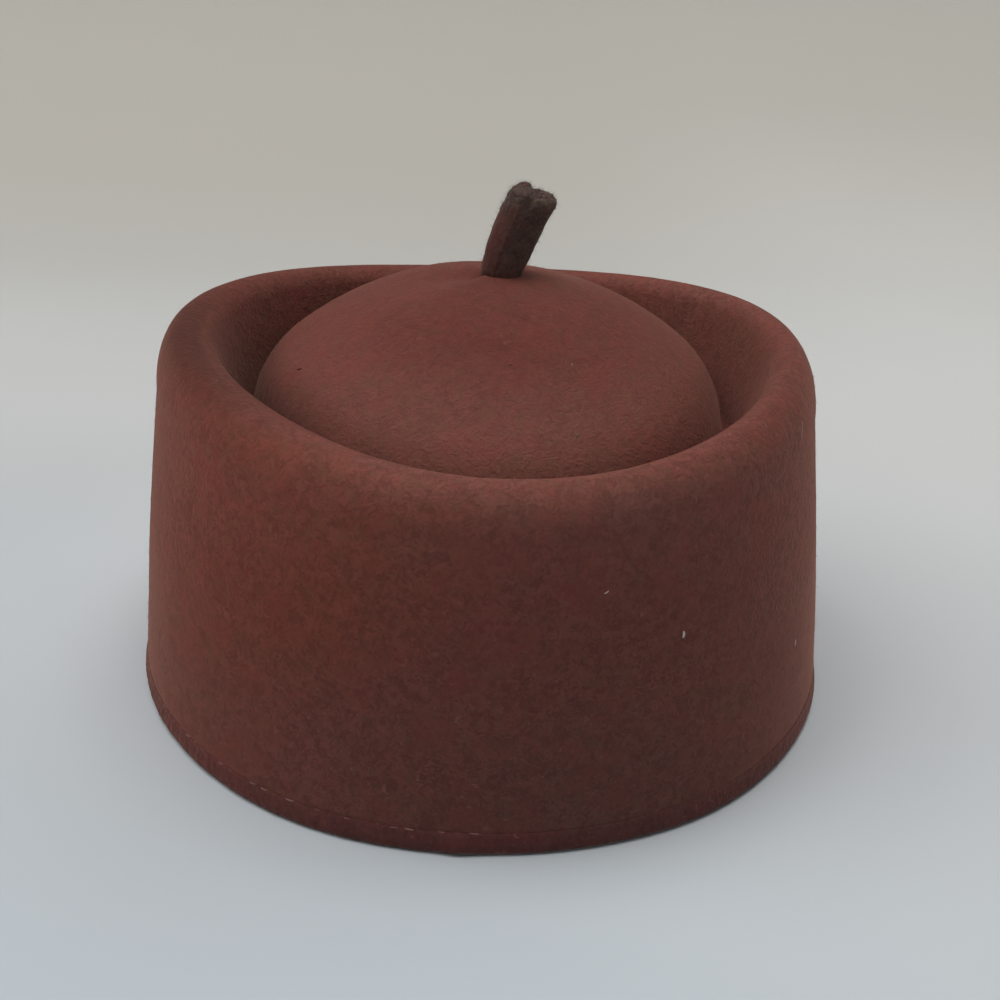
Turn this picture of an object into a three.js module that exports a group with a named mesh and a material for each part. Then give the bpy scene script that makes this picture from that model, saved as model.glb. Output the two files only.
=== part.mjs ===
// Prayer cap: a stiff felt cap with tapering sides, a soft rounded rim, a dome sunk
// inside the rim behind a deep crease, and a short stalk of rolled felt on the dome.
// Millimetres, +Z up. The origin is the centre of the hem on the surface that the cap
// rests on, and the wearer faces -Y.

import * as THREE from 'three';

const SEGMENTS = 64;

const FELT = 2.6;

// The hem is the felt's edge turned up inside and stitched, so it is twice as thick.
const HEM_RADIUS = 95;
const HEM_LIP_RADIUS = 94.5;
const HEM_LIP_HEIGHT = 4.4;
const HEM_TURN_UP = 9;
const HEM_EDGE = 0.7;

// The side wall leans in from the stitch line to the shoulder of the rim, a little full.
const WALL_FOOT_RADIUS = 93.5;
const WALL_FOOT_HEIGHT = 7.6;
const WALL_TOP_RADIUS = 86.1;
const WALL_TOP_HEIGHT = 79;
const WALL_FULLNESS = 0.55;

// The rim is two quarter ellipses that meet at its crest.
const RIM_RADIUS = 78;
const RIM_HEIGHT = 93.3;
const RIM_INNER_WIDTH = 5.2;
const RIM_INNER_DROP = 6.8;
const INNER_SLOPE = THREE.MathUtils.degToRad(72);

// The dome turns down into a deep, narrow crease inside the rim.
const CREASE_RADIUS = 65.5;
const CREASE_HEIGHT = 65;
const CREASE_ROUND = 1.2;
const DOME_RADIUS = 61;
const DOME_BASE = 82.3;
const DOME_RISE = 28.4;
const DOME_POWER = 2.13;
const DOME_SIDE_START = 53;
const DOME_SIDE_ROUND = 28;
const DOME_SIDE_SLOPE = THREE.MathUtils.degToRad(82);

// Wear has pulled the rim up at both sides and down at the front and back,
// and moved the dome a little towards the back.
const SIDE_LIFT = 4.6;
const SIDE_TWIST = 0.7;
const SIDE_LEAN = 1.2;
const SADDLE_RADIUS = 66.5;
const CROWN_SHIFT = -1.2;
const DOME_SHIFT = 2.3;
const DOME_SHIFT_START = 63;
const DOME_SHIFT_END = 74;

// The stalk is a bent roll of felt with a ragged cut end.
const STALK_FOOT = new THREE.Vector2(1.1, 3);
const STALK_RISE = 21;
const STALK_LEAN = 8;
const STALK_BEND = 0.5;
const STALK_FOOT_RADIUS = 5.2;
const STALK_TIP_RADIUS = 6.1;
const STALK_CUT_SLOPE = 1.6;
const STALK_RAGGED = 0.5;
const STALK_SIDES = 20;
const STALK_STEPS = 10;
const GAP = 0.3;

const FELT_COLOUR = 0x64403a;
const STALK_COLOUR = 0x372624;

function ellipseArc(centre, width, height, from, to, steps) {
  const points = [];
  for (let i = 0; i <= steps; i += 1) {
    const angle = from + ((to - from) * i) / steps;
    const x = centre.x + width * Math.cos(angle);
    const y = centre.y + height * Math.sin(angle);
    points.push(new THREE.Vector2(x, y));
  }
  return points;
}

function fullLine(from, to, fullness, steps) {
  const points = [];
  for (let i = 1; i < steps; i += 1) {
    const point = from.clone().lerp(to, i / steps);
    point.x += fullness * Math.sin((Math.PI * i) / steps);
    points.push(point);
  }
  return points;
}

function domeHeight(radius) {
  return DOME_BASE + DOME_RISE * (1 - (radius / DOME_RADIUS) ** DOME_POWER);
}

function domeSlope(radius) {
  const steepest = (DOME_RISE * DOME_POWER) / DOME_RADIUS;
  return Math.atan(steepest * (radius / DOME_RADIUS) ** (DOME_POWER - 1));
}

// Outside of the wall, rim, crease and dome, as radius and height, up to the apex.
function outerSection() {
  const wallFoot = new THREE.Vector2(WALL_FOOT_RADIUS, WALL_FOOT_HEIGHT);
  const wallTop = new THREE.Vector2(WALL_TOP_RADIUS, WALL_TOP_HEIGHT);
  const shoulderCentre = new THREE.Vector2(RIM_RADIUS, WALL_TOP_HEIGHT);
  const shoulderWidth = WALL_TOP_RADIUS - RIM_RADIUS;
  const shoulderRise = RIM_HEIGHT - WALL_TOP_HEIGHT;
  const rollCentre = new THREE.Vector2(RIM_RADIUS, RIM_HEIGHT - RIM_INNER_DROP);
  const rollSteepness = (Math.tan(INNER_SLOPE) * RIM_INNER_WIDTH) / RIM_INNER_DROP;
  const rollEnd = Math.PI / 2 + Math.atan(rollSteepness);
  const creaseCentre = new THREE.Vector2(CREASE_RADIUS, CREASE_HEIGHT + CREASE_ROUND);
  const startSlope = domeSlope(DOME_SIDE_START);
  const sideCentre = new THREE.Vector2(
    DOME_SIDE_START - DOME_SIDE_ROUND * Math.sin(startSlope),
    domeHeight(DOME_SIDE_START) - DOME_SIDE_ROUND * Math.cos(startSlope),
  );
  const shoulder = ellipseArc(shoulderCentre, shoulderWidth, shoulderRise, 0, Math.PI / 2, 6);
  const roll = ellipseArc(rollCentre, RIM_INNER_WIDTH, RIM_INNER_DROP, Math.PI / 2, rollEnd, 4);
  const crease = ellipseArc(
    creaseCentre,
    CREASE_ROUND,
    CREASE_ROUND,
    INNER_SLOPE - Math.PI / 2,
    -Math.PI / 2 - DOME_SIDE_SLOPE,
    4,
  );
  const side = ellipseArc(
    sideCentre,
    DOME_SIDE_ROUND,
    DOME_SIDE_ROUND,
    Math.PI / 2 - DOME_SIDE_SLOPE,
    Math.PI / 2 - startSlope,
    5,
  );
  const dome = [0.84, 0.67, 0.5, 0.33, 0.16].map(
    (part) => new THREE.Vector2(DOME_SIDE_START * part, domeHeight(DOME_SIDE_START * part)),
  );
  return [
    wallFoot,
    ...fullLine(wallFoot, wallTop, WALL_FULLNESS, 5),
    ...shoulder,
    ...roll.slice(1),
    ...fullLine(roll.at(-1), crease[0], 0, 2),
    ...crease,
    ...side,
    ...dome,
  ];
}

// The same section moved one felt's thickness towards the inside.
function innerSection(outer) {
  return outer.map((point, i) => {
    const before = outer[Math.max(i - 1, 0)];
    const after = outer[Math.min(i + 1, outer.length - 1)];
    const along = after.clone().sub(before).normalize();
    return new THREE.Vector2(point.x - along.y * FELT, point.y + along.x * FELT);
  });
}

// Bends a point of the round form into the worn form.
function settled(x, y, z) {
  const up = z / RIM_HEIGHT;
  const square = x * x + y * y;
  const radius = Math.sqrt(square);
  const cos2 = square > 0 ? (x * x - y * y) / square : 0;
  const sin2 = square > 0 ? (2 * x * y) / square : 0;
  const spread = Math.min(1, square / SADDLE_RADIUS ** 2);
  const saddle = up * up * spread * (SIDE_LIFT * cos2 + SIDE_TWIST * sin2);
  const lean = (-SIDE_LEAN * up * x) / HEM_RADIUS;
  const inDome = 1 - THREE.MathUtils.smoothstep(radius, DOME_SHIFT_START, DOME_SHIFT_END);
  return new THREE.Vector3(x + CROWN_SHIFT * up, y + DOME_SHIFT * inDome, z + saddle + lean);
}

// Closes a stack of rings of points with a fan to a middle point at each end.
function closedSolid(firstPoint, rings, lastPoint) {
  const sides = rings[0].length;
  const points = [firstPoint, ...rings.flat(), lastPoint];
  const last = points.length - 1;
  const triangles = [];
  for (let i = 0; i < sides; i += 1) {
    const next = (i + 1) % sides;
    triangles.push(0, 1 + next, 1 + i);
    for (let ring = 0; ring < rings.length - 1; ring += 1) {
      const low = 1 + ring * sides;
      const high = low + sides;
      triangles.push(low + i, low + next, high + next);
      triangles.push(low + i, high + next, high + i);
    }
    triangles.push(last, last - sides + i, last - sides + next);
  }
  const geometry = new THREE.BufferGeometry().setFromPoints(points);
  geometry.setIndex(triangles);
  geometry.computeVertexNormals();
  return geometry;
}

function ringAt(section) {
  const ring = [];
  for (let i = 0; i < SEGMENTS; i += 1) {
    const angle = (2 * Math.PI * i) / SEGMENTS;
    ring.push(settled(section.x * Math.cos(angle), section.x * Math.sin(angle), section.y));
  }
  return ring;
}

// One shell: up the inside of the felt, round the turned hem, and up the outside.
function feltBodyGeometry() {
  const outer = outerSection();
  const inner = innerSection(outer).slice(1);
  const hemInner = HEM_RADIUS - 2 * FELT;
  const hem = [
    new THREE.Vector2(hemInner + FELT - 0.6, HEM_TURN_UP + 1),
    new THREE.Vector2(hemInner + 0.3, HEM_TURN_UP),
    new THREE.Vector2(hemInner, HEM_EDGE),
    new THREE.Vector2(hemInner + HEM_EDGE, 0),
    new THREE.Vector2(HEM_RADIUS - HEM_EDGE, 0),
    new THREE.Vector2(HEM_RADIUS, HEM_EDGE),
    new THREE.Vector2(HEM_LIP_RADIUS, HEM_LIP_HEIGHT),
  ];
  const rings = [...inner.reverse(), ...hem, ...outer].map(ringAt);
  const apex = DOME_BASE + DOME_RISE;
  return closedSolid(settled(0, 0, apex - FELT), rings, settled(0, 0, apex));
}

// Height of the dome's outside over a point near its middle.
function domeSurface(x, y) {
  const fromMiddle = Math.hypot(x - CROWN_SHIFT, y - DOME_SHIFT);
  return domeHeight(fromMiddle);
}

function stalkCentre(part) {
  const sideways = STALK_LEAN * part - STALK_BEND * Math.sin(Math.PI * part);
  const foot = domeSurface(STALK_FOOT.x, STALK_FOOT.y);
  return new THREE.Vector3(STALK_FOOT.x + sideways, STALK_FOOT.y, foot + STALK_RISE * part);
}

function stalkRadius(part, angle) {
  const swell = Math.sin((Math.PI / 2) * Math.min(1, part * 1.5));
  const radius = THREE.MathUtils.lerp(STALK_FOOT_RADIUS, STALK_TIP_RADIUS, swell);
  return radius * (1 + 0.03 * Math.cos(3 * angle + 1));
}

function stalkRing(part) {
  const centre = stalkCentre(part);
  const along = stalkCentre(part + 0.05).sub(stalkCentre(part - 0.05)).normalize();
  const across = new THREE.Vector3(0, 1, 0);
  const aside = new THREE.Vector3().crossVectors(across, along).normalize();
  const ring = [];
  for (let i = 0; i < STALK_SIDES; i += 1) {
    const angle = (2 * Math.PI * i) / STALK_SIDES;
    const radius = stalkRadius(part, angle);
    const lobes = STALK_RAGGED * Math.cos(2 * angle + 2.4);
    const ragged = part ** 6 * (STALK_CUT_SLOPE * Math.cos(angle) + lobes);
    const point = centre.clone();
    point.addScaledVector(aside, radius * Math.cos(angle));
    point.addScaledVector(across, radius * Math.sin(angle));
    point.addScaledVector(along, ragged);
    ring.push(point);
  }
  return ring;
}

function stalkGeometry() {
  const foot = stalkCentre(0);
  foot.z += GAP;
  const rings = [];
  for (let step = 0; step <= STALK_STEPS; step += 1) {
    rings.push(stalkRing(step / STALK_STEPS));
  }
  rings[0].forEach((point) => point.setZ(domeSurface(point.x, point.y) + GAP));
  const tip = stalkCentre(1);
  tip.z -= STALK_RAGGED;
  return closedSolid(foot, rings, tip);
}

function mesh(name, geometry, color, roughness) {
  const material = new THREE.MeshStandardMaterial({ color, roughness, metalness: 0 });
  const piece = new THREE.Mesh(geometry, material);
  piece.name = name;
  return piece;
}

const prayerCap = new THREE.Group();
prayerCap.add(mesh('felt_body', feltBodyGeometry(), FELT_COLOUR, 0.95));
prayerCap.add(mesh('stalk', stalkGeometry(), STALK_COLOUR, 1));

export default prayerCap;
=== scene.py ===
# %% [markdown]
# # A blocked felt prayer cap
# This lesson builds a stiff felt cap: straight sides that lean in, a soft round rim, a dome
# sunk inside the rim, and a short stalk of rolled felt on top. The construction model says
# where everything is. It is opened here as a fixed frame, and each finer piece made below
# takes the place of one of its plain solids.

import math

import bpy
import numpy as np
from mathutils import Euler, Matrix, Vector, noise


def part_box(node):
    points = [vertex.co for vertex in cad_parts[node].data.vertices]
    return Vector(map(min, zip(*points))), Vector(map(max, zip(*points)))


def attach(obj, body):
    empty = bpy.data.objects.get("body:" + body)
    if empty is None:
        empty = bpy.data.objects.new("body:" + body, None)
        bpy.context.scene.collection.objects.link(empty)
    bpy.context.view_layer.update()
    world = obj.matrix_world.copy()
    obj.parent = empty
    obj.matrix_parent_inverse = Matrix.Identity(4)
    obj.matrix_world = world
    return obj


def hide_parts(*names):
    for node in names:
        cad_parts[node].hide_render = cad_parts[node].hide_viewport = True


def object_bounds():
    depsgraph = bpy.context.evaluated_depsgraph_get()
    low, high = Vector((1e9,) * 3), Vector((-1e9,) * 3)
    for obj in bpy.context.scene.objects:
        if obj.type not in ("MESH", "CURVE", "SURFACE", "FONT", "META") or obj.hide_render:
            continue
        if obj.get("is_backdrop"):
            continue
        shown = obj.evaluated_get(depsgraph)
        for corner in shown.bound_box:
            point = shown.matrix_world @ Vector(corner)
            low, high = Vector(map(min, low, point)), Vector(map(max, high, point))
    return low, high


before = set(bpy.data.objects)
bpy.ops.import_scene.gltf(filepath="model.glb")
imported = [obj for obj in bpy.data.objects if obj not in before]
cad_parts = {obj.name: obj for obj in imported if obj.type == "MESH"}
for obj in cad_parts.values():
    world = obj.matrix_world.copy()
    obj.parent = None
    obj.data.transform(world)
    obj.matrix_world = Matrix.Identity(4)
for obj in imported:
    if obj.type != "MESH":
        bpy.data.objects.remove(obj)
frame_low, frame_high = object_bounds()
body_low, body_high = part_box("felt_body")
_, stalk_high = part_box("stalk")
MM = 0.001
print("frame, in mm:", [round(v / MM, 1) for v in (*frame_low, *frame_high)])

# %% [markdown]
# ## Writing node trees as formulas
# Both the shapes and the finishes below are node trees. Adding nodes one by one in a script
# hides the idea behind them, so two small helpers come first. A Field holds one socket, and
# arithmetic on it adds Math nodes. A Graph adds any other node and plugs its inputs by name.

# %% Fields and graphs
class Field:
    """One output socket. Python's arithmetic on it adds Math nodes to its graph."""

    def __init__(self, graph, socket):
        self.graph = graph
        self.socket = socket

    def math(self, operation, *others):
        plugs = dict(enumerate((self, *others)))
        return self.graph.add("ShaderNodeMath", plugs, operation=operation)[0]

    def __add__(self, other):
        return self.math("ADD", other)

    def __sub__(self, other):
        return self.math("SUBTRACT", other)

    def __mul__(self, other):
        return self.math("MULTIPLY", other)

    def __truediv__(self, other):
        return self.math("DIVIDE", other)

    def __pow__(self, other):
        return self.math("POWER", other)

    __radd__ = __add__
    __rmul__ = __mul__

    def __rsub__(self, other):
        return (self * -1) + other

    def smooth(self, low, high, start=0.0, end=1.0):
        """start up to low, end from high on, and an even slope between them."""
        plugs = {"Value": self, "From Min": low, "From Max": high, "To Min": start, "To Max": end}
        return self.graph.add("ShaderNodeMapRange", plugs, interpolation_type="SMOOTHSTEP")[0]

    def band(self, begins, full, fades, ends):
        """1 from full to fades, and 0 below begins and above ends."""
        return self.smooth(begins, full) * self.smooth(fades, ends, 1.0, 0.0)

    def xyz(self):
        return tuple(self.graph.add("ShaderNodeSeparateXYZ", {0: self}))


class Outputs:
    """A node's outputs, by name or by number, as Fields."""

    def __init__(self, graph, node):
        self.graph = graph
        self.node = node

    def __getitem__(self, name):
        return Field(self.graph, self.node.outputs[name])

    def __iter__(self):
        return (Field(self.graph, socket) for socket in self.node.outputs)


class Graph:
    """A node tree to be filled. add() returns the new node's outputs."""

    def __init__(self, tree):
        self.tree = tree
        self.nodes = tree.nodes

    def add(self, kind, plugs=None, **settings):
        node = self.nodes.new(kind)
        for name, value in settings.items():
            setattr(node, name, value)
        for name, value in (plugs or {}).items():
            self.plug(node.inputs[name], value)
        return Outputs(self, node)

    def plug(self, entry, value):
        if isinstance(value, Field):
            self.tree.links.new(value.socket, entry)
        else:
            entry.default_value = value

    def join(self, x, y, z):
        return self.add("ShaderNodeCombineXYZ", {0: x, 1: y, 2: z})[0]

    def noise(self, place, size, detail=2.0, roughness=0.5, distortion=0.0):
        """Noise from 0 to 1, in lumps of about size metres."""
        plugs = {
            "Vector": place,
            "Scale": size**-1,
            "Detail": detail,
            "Roughness": roughness,
            "Distortion": distortion,
        }
        return self.add("ShaderNodeTexNoise", plugs)[0]


print("helpers for node trees are ready")

# %% [markdown]
# ## Running a Geometry Nodes tree
# A tree is a modifier on an object. Its sizes are inputs on the tree's interface, and the
# modifier stores them by the socket's identifier. Once it is evaluated, new_from_object
# keeps the result as a plain mesh, and the modifier and its carrier are thrown away.

# %% Making and running a tree
KINDS = {
    float: "NodeSocketFloat",
    int: "NodeSocketInt",
    bpy.types.Material: "NodeSocketMaterial",
    bpy.types.Object: "NodeSocketObject",
}


def geometry_tree(name, values):
    """A new tree with one input for each named value. Returns its graph and its inputs."""
    tree = bpy.data.node_groups.new(name, "GeometryNodeTree")
    tree.interface.new_socket("Geometry", in_out="INPUT", socket_type="NodeSocketGeometry")
    for label, value in values.items():
        tree.interface.new_socket(label, in_out="INPUT", socket_type=KINDS[type(value)])
    tree.interface.new_socket("Geometry", in_out="OUTPUT", socket_type="NodeSocketGeometry")
    graph = Graph(tree)
    return graph, graph.add("NodeGroupInput")


def end_tree(graph, geometry, material):
    """Every tree ends the same way: smooth, real geometry, with its material set."""
    smooth = graph.add("GeometryNodeSetShadeSmooth", {"Geometry": geometry})
    real = graph.add("GeometryNodeRealizeInstances", {"Geometry": smooth["Geometry"]})
    plugs = {"Geometry": real["Geometry"], "Material": material}
    dressed = graph.add("GeometryNodeSetMaterial", plugs)
    graph.add("NodeGroupOutput", {"Geometry": dressed["Geometry"]})


def placed(name, mesh):
    piece = bpy.data.objects.new(name, mesh)
    bpy.context.scene.collection.objects.link(piece)
    return piece


def report(piece):
    triangles = sum(len(face.vertices) - 2 for face in piece.data.polygons)
    lows = [min(v.co[i] for v in piece.data.vertices) / MM for i in range(3)]
    highs = [max(v.co[i] for v in piece.data.vertices) / MM for i in range(3)]
    print(f"{piece.name}: {triangles} triangles,", [round(v, 1) for v in lows + highs])


def run_tree(graph, name, values, start=None):
    """The tree's result as a plain mesh object at the origin."""
    carrier = placed(name + "_carrier", start or bpy.data.meshes.new(name))
    modifier = carrier.modifiers.new("Shape", "NODES")
    modifier.node_group = graph.tree
    for item in graph.tree.interface.items_tree:
        if item.in_out == "INPUT" and item.name in values:
            modifier[item.identifier] = values[item.name]
    view = bpy.context.evaluated_depsgraph_get()
    evaluated = carrier.evaluated_get(view)
    mesh = bpy.data.meshes.new_from_object(evaluated, preserve_all_data_layers=True, depsgraph=view)
    mesh.name = name
    bpy.data.objects.remove(carrier)
    piece = placed(name, mesh)
    report(piece)
    return piece


def plain_mesh(name, points, faces):
    """A mesh from points in millimetres."""
    mesh = bpy.data.meshes.new(name)
    mesh.from_pydata([(x * MM, y * MM, z * MM) for x, y, z in points], [], faces)
    mesh.update()
    return mesh


print("trees are made with geometry_tree and run with run_tree")

# %% [markdown]
# ## The colour and nap of the felt
# Wool felt has no weave. Its face is a mat of crossing fibres, so its colour is a fine
# mottle, with soft clouds where the dye took unevenly and pale flecks where single fibres
# lie on top. Noise at several sizes gives each of these. The fibres that stand up catch
# light at the edge of the form, which is what the shader's sheen is for.
#
# Painted light, painted shade and a warmer tint could be laid on as new colours, but those
# would hide the mottle. Here painted light, the greyer painted shade low on the front and the
# warmer tint each multiply the colour by a tint instead, so the mottle shows through it.
# Painted shade in the cap's crease, between the hem's ridges and near the floor blends the
# colour toward a far darker one. How much of each a piece takes, and where, is kept on its own
# mesh as attributes, which the felt only reads. A piece that has no such attribute gives 0, and
# stays plain.

# %% Colours of painted light, painted shade and tint
PAINTED_LIGHT_SHADE_TINTS = {
    # Tints for painted light, for a warmer tint, and for painted shade low on the front right.
    "faded": (1.60, 2.10, 2.15, 1),
    "warmed": (1.16, 0.98, 0.86, 1),
    "soiled": (0.36, 0.83, 1.0, 1),
}
# How dark the painted shade makes the felt, as a part of its darkest colour.
PAINTED_SHADE_TONE = 0.3
PRESSED_RELIEF = 0.25
FLANK_STRENGTH = 0.85


def blend(graph, amount, first, second, how="MIX"):
    """A colour between two others, or on its way to being multiplied by the second."""
    plugs = {0: amount, 6: first, 7: second}
    return graph.add("ShaderNodeMix", plugs, data_type="RGBA", blend_type=how)[2]


def mesh_value(graph, name):
    """What the mesh holds under a name, and 0 where it holds nothing."""
    return graph.add("ShaderNodeAttribute", attribute_name=name)["Fac"]


# The sorts printed are painted light, a warmer tint and painted shade.
print("sorts of wear:", *PAINTED_LIGHT_SHADE_TINTS)


# %% Felt
RELIEF = 0.8 * MM


def felt(name, dark, light, brown, flush, fleck, sheen, sheen_tint, bump):
    material = bpy.data.materials.new(name)
    material.use_nodes = True
    graph = Graph(material.node_tree)
    shader = graph.nodes["Principled BSDF"]
    place = graph.add("ShaderNodeTexCoord")["Object"]
    x, y, z = place.xyz()
    elsewhere = graph.join(y + 1.0, z, x)
    mat = graph.noise(place, 1.7 * MM, 3, 0.6, 1.2)
    hair = graph.noise(place, 0.55 * MM, 2, 0.6, 0.6)
    tufts = graph.noise(elsewhere, 4 * MM, 3, 0.6, 0.8)
    clouds = graph.noise(place, 26 * MM, 2, 0.5)
    uneven = (mat * 0.55 + hair * 0.1 + tufts * 0.35 - 0.5) * (mesh_value(graph, "coarse") + 0.8)
    mottle = (uneven + 0.5).smooth(0.34, 0.66)
    colour = blend(graph, mottle, (*dark, 1), (*light, 1))
    browning = graph.noise(elsewhere, 3 * MM, 4, 0.75, 0.6).smooth(0.46, 0.64, 0, 0.6)
    fraying = mesh_value(graph, "frayed") * tufts.smooth(0.36, 0.58, 0.1, 0.9)
    colour = blend(graph, browning + fraying, colour, (*brown, 1))
    flushing = graph.noise(place, 9 * MM, 5, 0.75, 0.5) * 0.7 + clouds * 0.3
    colour = blend(graph, flushing.smooth(0.46, 0.62, 0, 0.55), colour, (*flush, 1))
    colour = blend(graph, mesh_value(graph, "flank") * FLANK_STRENGTH, colour, (*flush, 1))
    # Painted light, painted shade low on the front and the warmer tint each multiply the colour.
    for tinting, tint in PAINTED_LIGHT_SHADE_TINTS.items():
        colour = blend(graph, mesh_value(graph, tinting), colour, tint, "MULTIPLY")
    # Painted shade in creases and grooves: the colour is blended toward a far darker one.
    painted_shade_colour = tuple(PAINTED_SHADE_TONE * channel for channel in dark)
    colour = blend(graph, mesh_value(graph, "shelter"), colour, (*painted_shade_colour, 1))
    specks = graph.noise(elsewhere, 1.8 * MM, 1, 0.5, 1.0)
    colour = blend(graph, specks.smooth(0.68, 0.78, 0, 0.4), colour, (*fleck, 1))
    pressed = mesh_value(graph, "pressed").smooth(0.0, 1.0, 1.0, PRESSED_RELIEF)
    height = (mat * 0.6 + tufts * 0.3 + hair * 0.1) * pressed
    plugs = {"Height": height, "Strength": bump, "Distance": RELIEF}
    relief = graph.add("ShaderNodeBump", plugs)["Normal"]
    graph.plug(shader.inputs["Base Color"], colour)
    graph.plug(shader.inputs["Normal"], relief)
    shader.inputs["Roughness"].default_value = 0.9
    shader.inputs["Specular IOR Level"].default_value = 0.15
    shader.inputs["Sheen Weight"].default_value = sheen
    shader.inputs["Sheen Roughness"].default_value = 0.4
    shader.inputs["Sheen Tint"].default_value = (*sheen_tint, 1)
    return material


crown_felt = felt(
    "crown_felt",
    dark=(0.140, 0.0402, 0.0310),
    light=(0.204, 0.0601, 0.0461),
    brown=(0.156, 0.0574, 0.0372),
    flush=(0.205, 0.0478, 0.0375),
    fleck=(0.266, 0.102, 0.080),
    sheen=0.3,
    sheen_tint=(0.92, 0.50, 0.38),
    bump=0.75,
)
hem_felt = felt(
    "hem_felt",
    dark=(0.110, 0.0320, 0.0276),
    light=(0.187, 0.0564, 0.0488),
    brown=(0.128, 0.0480, 0.0350),
    flush=(0.173, 0.0410, 0.0370),
    fleck=(0.26, 0.110, 0.095),
    sheen=0.3,
    sheen_tint=(0.88, 0.50, 0.40),
    bump=0.75,
)
rolled_felt = felt(
    "rolled_felt",
    dark=(0.050, 0.0310, 0.0270),
    light=(0.112, 0.067, 0.057),
    brown=(0.133, 0.086, 0.068),
    flush=(0.122, 0.043, 0.036),
    fleck=(0.20, 0.14, 0.125),
    sheen=0.2,
    sheen_tint=(0.75, 0.62, 0.55),
    bump=0.8,
)
print("felts:", crown_felt.name, hem_felt.name, rolled_felt.name)


# %% [markdown]
# ## Thread and loose fibres
# The sewing thread, the nap and the lint are single fibres, too fine to carry a pattern. What
# can be seen is that no two have quite the same tone. Each fibre carries a tone from 0 to 1 as
# an attribute, stored when it is placed, and one finish turns that into a colour between two.

# %% Thread and loose fibres
def fibre_finish(name, first, second, sheen):
    """A finish whose colour runs between two by the fibre's own tone."""
    material = bpy.data.materials.new(name)
    material.use_nodes = True
    graph = Graph(material.node_tree)
    shader = graph.nodes["Principled BSDF"]
    place = graph.add("ShaderNodeTexCoord")["Object"]
    uneven = graph.noise(place, 0.8 * MM) - 0.5
    tone = (mesh_value(graph, "tone") + uneven * 0.5).smooth(0, 1)
    colour = blend(graph, tone, (*first, 1), (*second, 1))
    graph.plug(shader.inputs["Base Color"], colour)
    shader.inputs["Roughness"].default_value = 0.75
    shader.inputs["Specular IOR Level"].default_value = 0.25
    shader.inputs["Sheen Weight"].default_value = sheen
    return material


thread = fibre_finish("sewing_thread", (0.15, 0.056, 0.049), (0.25, 0.11, 0.096), 0.2)
nap_wool = fibre_finish("nap_wool", (0.13, 0.040, 0.032), (0.22, 0.080, 0.065), 0.2)
dark_wool = fibre_finish("dark_wool", (0.030, 0.017, 0.014), (0.16, 0.12, 0.10), 0.2)
loose_lint = fibre_finish("loose_lint", (0.030, 0.018, 0.015), (0.60, 0.49, 0.45), 0.1)
print("thread and fibres are ready")

# %% [markdown]
# ## The section of the cap
# A cap pressed over a round block is the same all the way round, so one section says nearly
# everything: up the wall, over the rim, down into the crease and up the dome. The section
# is made from arcs and one power curve. The inside is the same line moved in by the felt's
# thickness.

# %% Named sizes of the cap, in millimetres
FELT = 2.6
HEM_RADIUS = (body_high.x - body_low.x) / 2 / MM
APEX = body_high.z / MM
WALL_FOOT = (94.1, 7.2)
WALL_TOP = (86.1, 79.0)
WALL_FULLNESS = 0.55
RIM = (78.0, 93.3)
RIM_INNER = (5.2, 6.8)
INNER_SLOPE = math.radians(72)
CREASE = (65.5, 65.0)
CREASE_ROUND = 1.2
DOME_RADIUS = 61.0
DOME_BASE = 82.3
DOME_POWER = 2.13
DOME_SIDE_START = 53.0
DOME_SIDE_ROUND = 28.0
DOME_SIDE_SLOPE = math.radians(82)
HEM_LINE = 6.0
print(f"hem {2 * HEM_RADIUS:.0f} mm across, dome {APEX:.1f} mm high")


# %% Lines and arcs
def arc(centre, width, height, start, end, steps):
    turn = np.linspace(math.radians(start), math.radians(end), steps + 1)
    return np.column_stack((centre[0] + width * np.cos(turn), centre[1] + height * np.sin(turn)))


def line(start, end, steps, fullness=0.0):
    """The points between two ends, bulging by fullness."""
    part = np.linspace(0, 1, steps + 1)[1:-1, None]
    points = np.array(start) * (1 - part) + np.array(end) * part
    points[:, 0] += fullness * np.sin(math.pi * part[:, 0])
    return points


def dome_height(radius):
    return DOME_BASE + (APEX - DOME_BASE) * (1 - (radius / DOME_RADIUS) ** DOME_POWER)


def dome_slope(radius):
    steepness = (APEX - DOME_BASE) * DOME_POWER / DOME_RADIUS
    return math.atan(steepness * (radius / DOME_RADIUS) ** (DOME_POWER - 1))


def moved_in(section, distance):
    """The section moved sideways, to the left of the way it runs."""
    along = np.gradient(section, axis=0)
    along /= np.linalg.norm(along, axis=1)[:, None]
    return section + distance * np.column_stack((-along[:, 1], along[:, 0]))


print(f"dome's slope where its side begins: {math.degrees(dome_slope(DOME_SIDE_START)):.0f} degrees")


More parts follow.
